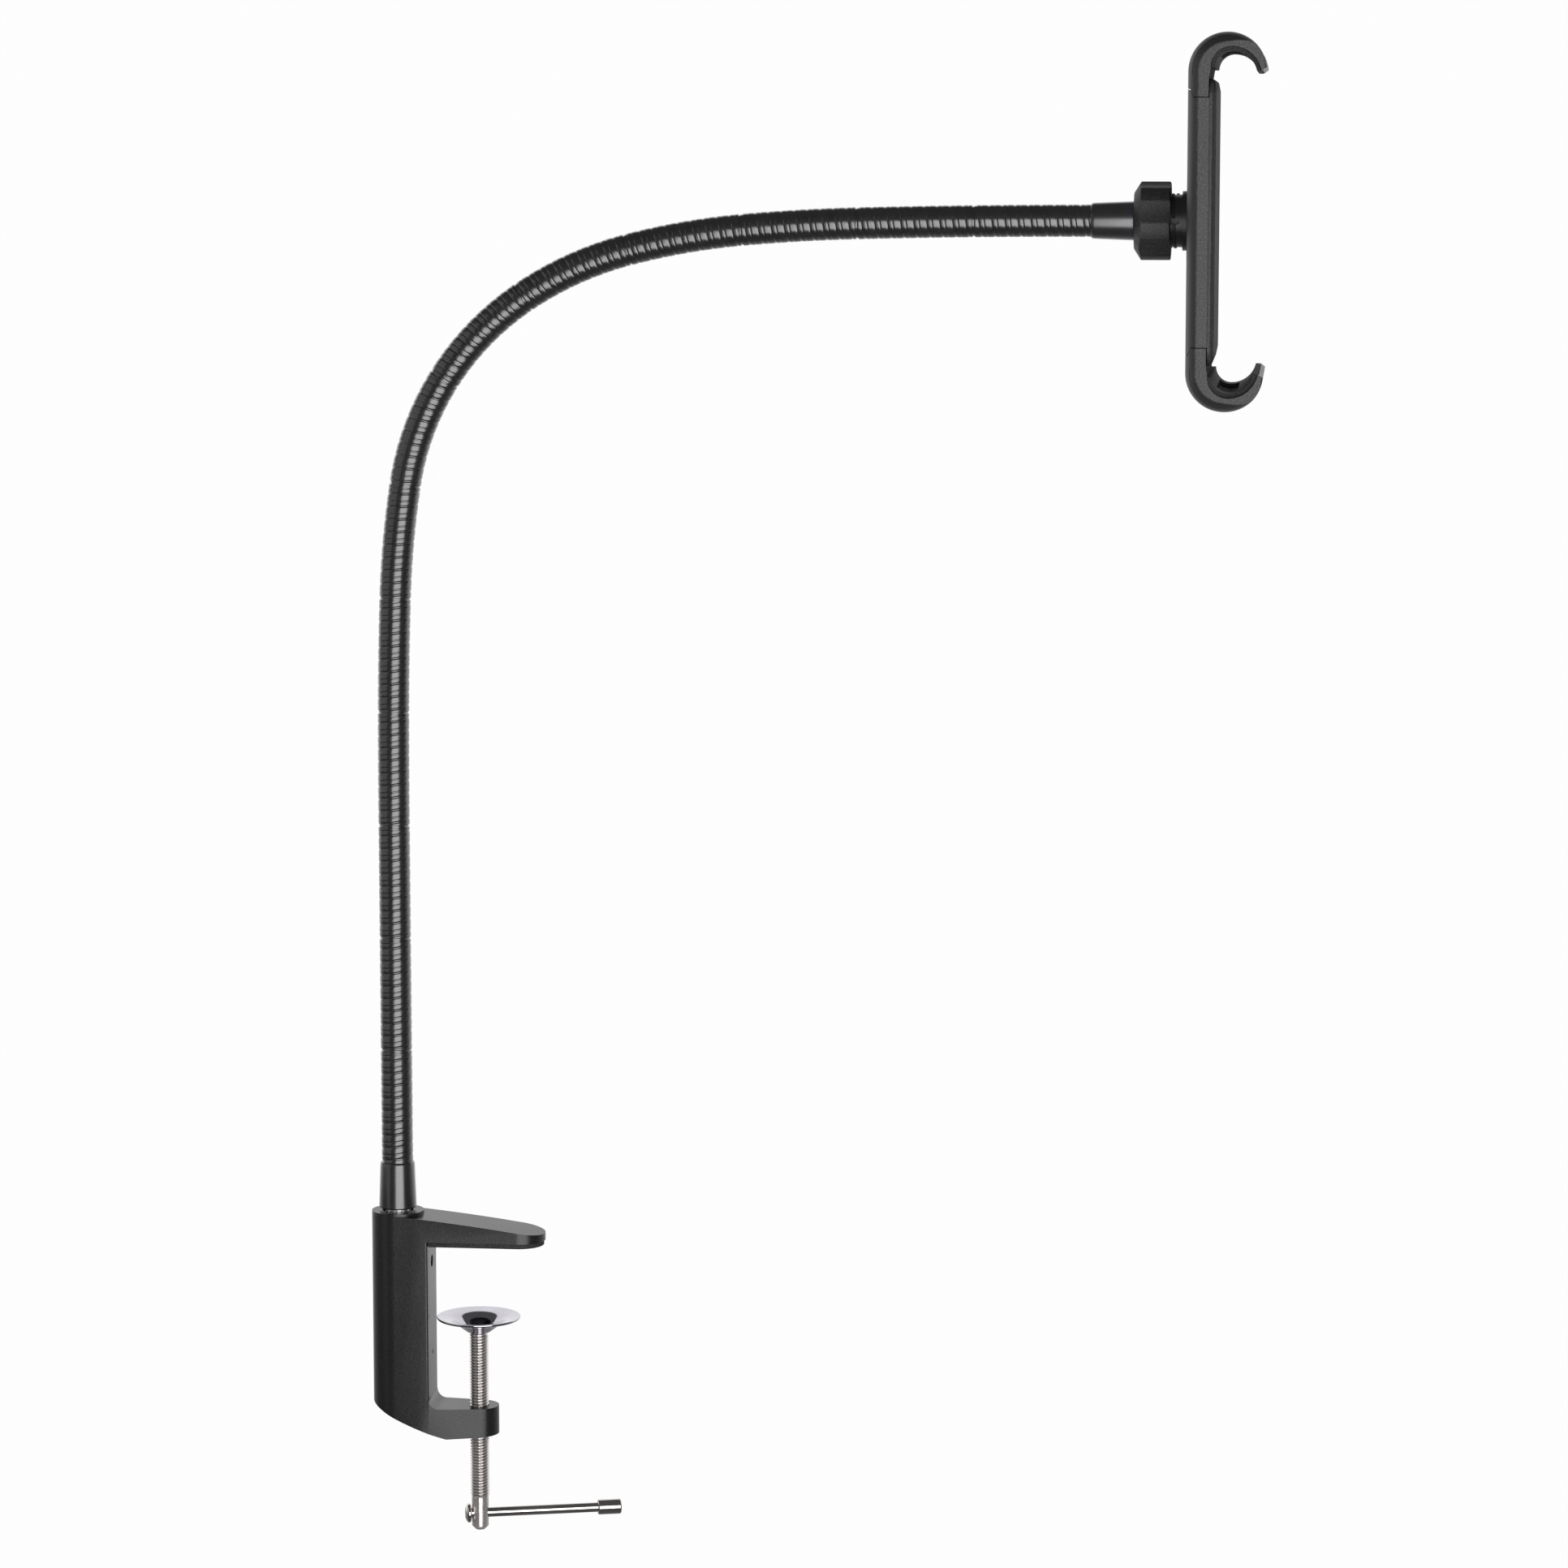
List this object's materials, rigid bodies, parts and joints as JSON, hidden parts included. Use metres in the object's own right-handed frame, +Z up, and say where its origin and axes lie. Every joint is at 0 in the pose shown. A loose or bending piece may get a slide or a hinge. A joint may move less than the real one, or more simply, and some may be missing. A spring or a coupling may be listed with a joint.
{
  "type": "tablet desk mount",
  "caption": "Clamp-on desk mount for a tablet: screw clamp, flexible gooseneck arm, ball joint and spring-loaded holder with two sliding hooks.",
  "frame": {"origin": "on the clamping screw's axis, in the face of the clamp's pad that lies on the desk top", "axes": "+Z up along the clamping screw, +X towards the desk and the way the arm reaches, Y = 0 is the arm's plane"},
  "size_m": [0.3641, 0.1, 0.6168],
  "materials": {
    "cast_black": "satin black paint on a casting",
    "rubber_black": "matt soft rubber",
    "steel": "bright zinc plate",
    "dark_steel": "black oxide",
    "chrome": "polished chrome plate",
    "nickel": "bright nickel plate",
    "gloss_black": "gloss",
    "sleeve_black": "gloss, ribbed",
    "wound_steel": "bare wound strip",
    "ball_black": "smooth",
    "satin_black": "fine spark texture"
  },
  "bodies": {
    "clamp": {"clamp_frame": "cast_black", "jaw_pad": "rubber_black", "arm_stud": "steel", "lock_screw": "dark_steel", "lower_ferrule": "gloss_black", "arm_sleeve_01": "sleeve_black", "arm_core_01": "wound_steel"},
    "dish": {"pressure_dish": "chrome"},
    "screw": {"clamp_screw": "nickel"},
    "bar": {"tommy_bar": "nickel", "bar_cap": "nickel"},
    "arm_02": {"arm_sleeve_02": "sleeve_black", "arm_core_02": "wound_steel"},
    "arm_03": {"arm_sleeve_03": "sleeve_black", "arm_core_03": "wound_steel"},
    "arm_04": {"arm_sleeve_04": "sleeve_black", "arm_core_04": "wound_steel"},
    "arm_05": {"arm_sleeve_05": "sleeve_black", "arm_core_05": "wound_steel"},
    "arm_06": {"arm_sleeve_06": "sleeve_black", "arm_core_06": "wound_steel"},
    "arm_07": {"arm_sleeve_07": "sleeve_black", "arm_core_07": "wound_steel"},
    "arm_08": {"arm_sleeve_08": "sleeve_black", "arm_core_08": "wound_steel"},
    "arm_09": {"arm_sleeve_09": "sleeve_black", "arm_core_09": "wound_steel"},
    "arm_10": {"arm_sleeve_10": "sleeve_black", "arm_core_10": "wound_steel"},
    "arm_11": {"arm_sleeve_11": "sleeve_black", "arm_core_11": "wound_steel"},
    "arm_12": {"arm_sleeve_12": "sleeve_black", "arm_core_12": "wound_steel"},
    "arm_13": {"arm_sleeve_13": "sleeve_black", "arm_core_13": "wound_steel", "upper_ferrule": "gloss_black", "ball_pin": "steel"},
    "ball": {"joint_ball": "ball_black"},
    "cup": {"friction_cup": "ball_black"},
    "holder": {"ball_socket": "satin_black", "back_shell": "satin_black", "front_cover": "satin_black", "face_pad": "rubber_black", "body_screws": "steel", "socket_screws": "steel", "upper_spring": "steel", "lower_spring": "steel"},
    "nut": {"collar_nut": "satin_black"},
    "upper_jaw": {"upper_hook": "satin_black", "upper_slide": "satin_black", "upper_liner": "rubber_black"},
    "lower_jaw": {"lower_hook": "satin_black", "lower_slide": "satin_black", "lower_liner": "rubber_black"}
  },
  "joints": [
    {"name": "screw_travel", "type": "slide", "parent": "clamp", "child": "dish", "axis": [0, 0, 1], "range_m": [-0.0295, 0.0298]},
    {"name": "screw_turn", "type": "hinge", "parent": "dish", "child": "screw", "pos_m": [0, 0, -0.0377], "axis": [0, 0, 1], "range_deg": [-8497, 8583.4]},
    {"name": "bar_slide", "type": "slide", "parent": "screw", "child": "bar", "axis": [0.9636, 0.2672, 0], "range_m": [-0.0454, 0]},
    {"name": "lower_bend_1", "type": "hinge", "parent": "clamp", "child": "arm_02", "pos_m": [-0.0335, 0, 0.08085], "axis": [0, 1, 0], "range_deg": [-8, 8]},
    {"name": "lower_bend_2", "type": "hinge", "parent": "arm_02", "child": "arm_03", "pos_m": [-0.0335, 0, 0.1276], "axis": [0, 1, 0], "range_deg": [-8, 8]},
    {"name": "side_bend_1", "type": "hinge", "parent": "arm_03", "child": "arm_04", "pos_m": [-0.0335, 0, 0.17435], "axis": [-1, 0, 0], "range_deg": [-8, 8]},
    {"name": "lower_bend_3", "type": "hinge", "parent": "arm_04", "child": "arm_05", "pos_m": [-0.03325, 0, 0.2211], "axis": [0, 1, 0], "range_deg": [-8, 8]},
    {"name": "lower_bend_4", "type": "hinge", "parent": "arm_05", "child": "arm_06", "pos_m": [-0.03211, 0, 0.26783], "axis": [0, 1, 0], "range_deg": [-8, 8]},
    {"name": "side_bend_2", "type": "hinge", "parent": "arm_06", "child": "arm_07", "pos_m": [-0.02751, 0, 0.31433], "axis": [-0.9874, 0, 0.1582], "range_deg": [-8, 8]},
    {"name": "upper_bend_1", "type": "hinge", "parent": "arm_07", "child": "arm_08", "pos_m": [-0.01084, 0, 0.35764], "axis": [0, 1, 0], "range_deg": [-8, 8]},
    {"name": "upper_bend_2", "type": "hinge", "parent": "arm_08", "child": "arm_09", "pos_m": [0.02181, 0, 0.39064], "axis": [0, 1, 0], "range_deg": [-8, 8]},
    {"name": "side_bend_3", "type": "hinge", "parent": "arm_09", "child": "arm_10", "pos_m": [0.06429, 0, 0.40964], "axis": [-0.2521, 0, 0.9677], "range_deg": [-8, 8]},
    {"name": "upper_bend_3", "type": "hinge", "parent": "arm_10", "child": "arm_11", "pos_m": [0.1103, 0, 0.41767], "axis": [0, 1, 0], "range_deg": [-8, 8]},
    {"name": "upper_bend_4", "type": "hinge", "parent": "arm_11", "child": "arm_12", "pos_m": [0.15696, 0, 0.4204], "axis": [0, 1, 0], "range_deg": [-8, 8]},
    {"name": "side_bend_4", "type": "hinge", "parent": "arm_12", "child": "arm_13", "pos_m": [0.2037, 0, 0.4213], "axis": [-0.0122, 0, 0.9999], "range_deg": [-8, 8]},
    {"name": "ball_roll", "type": "hinge", "parent": "arm_13", "child": "ball", "pos_m": [0.27345, 0, 0.42159], "axis": [1, 0, 0], "continuous": true},
    {"name": "ball_tilt", "type": "hinge", "parent": "ball", "child": "cup", "pos_m": [0.27345, 0, 0.42159], "axis": [0, 1, 0], "range_deg": [-9, 9]},
    {"name": "ball_pan", "type": "hinge", "parent": "cup", "child": "holder", "pos_m": [0.27345, 0, 0.42159], "axis": [0, 0, 1], "range_deg": [-9, 9]},
    {"name": "nut_turn", "type": "hinge", "parent": "holder", "child": "nut", "pos_m": [0.27345, 0, 0.42159], "axis": [1, 0, 0], "range_deg": [-5, 330]},
    {"name": "upper_jaw_slide", "type": "slide", "parent": "holder", "child": "upper_jaw", "axis": [0, 0, 1], "range_m": [0, 0.03], "stiffness_N_per_m": 150, "springref_m": -0.02, "deforming": ["upper_spring"]},
    {"name": "lower_jaw_slide", "type": "slide", "parent": "holder", "child": "lower_jaw", "axis": [0, 0, -1], "range_m": [0, 0.03], "stiffness_N_per_m": 150, "springref_m": -0.02, "deforming": ["lower_spring"]}
  ],
  "couplings": [
    {"joint": "screw_turn", "follows": "screw_travel", "rad_per_m": 5026.5},
    {"joint": "lower_bend_2", "follows": "lower_bend_1", "ratio": 1},
    {"joint": "lower_bend_3", "follows": "lower_bend_1", "ratio": 1},
    {"joint": "lower_bend_4", "follows": "lower_bend_1", "ratio": 1},
    {"joint": "upper_bend_2", "follows": "upper_bend_1", "ratio": 1},
    {"joint": "upper_bend_3", "follows": "upper_bend_1", "ratio": 1},
    {"joint": "upper_bend_4", "follows": "upper_bend_1", "ratio": 1},
    {"joint": "side_bend_2", "follows": "side_bend_1", "ratio": 1},
    {"joint": "side_bend_3", "follows": "side_bend_1", "ratio": 1},
    {"joint": "side_bend_4", "follows": "side_bend_1", "ratio": 1}
  ]
}
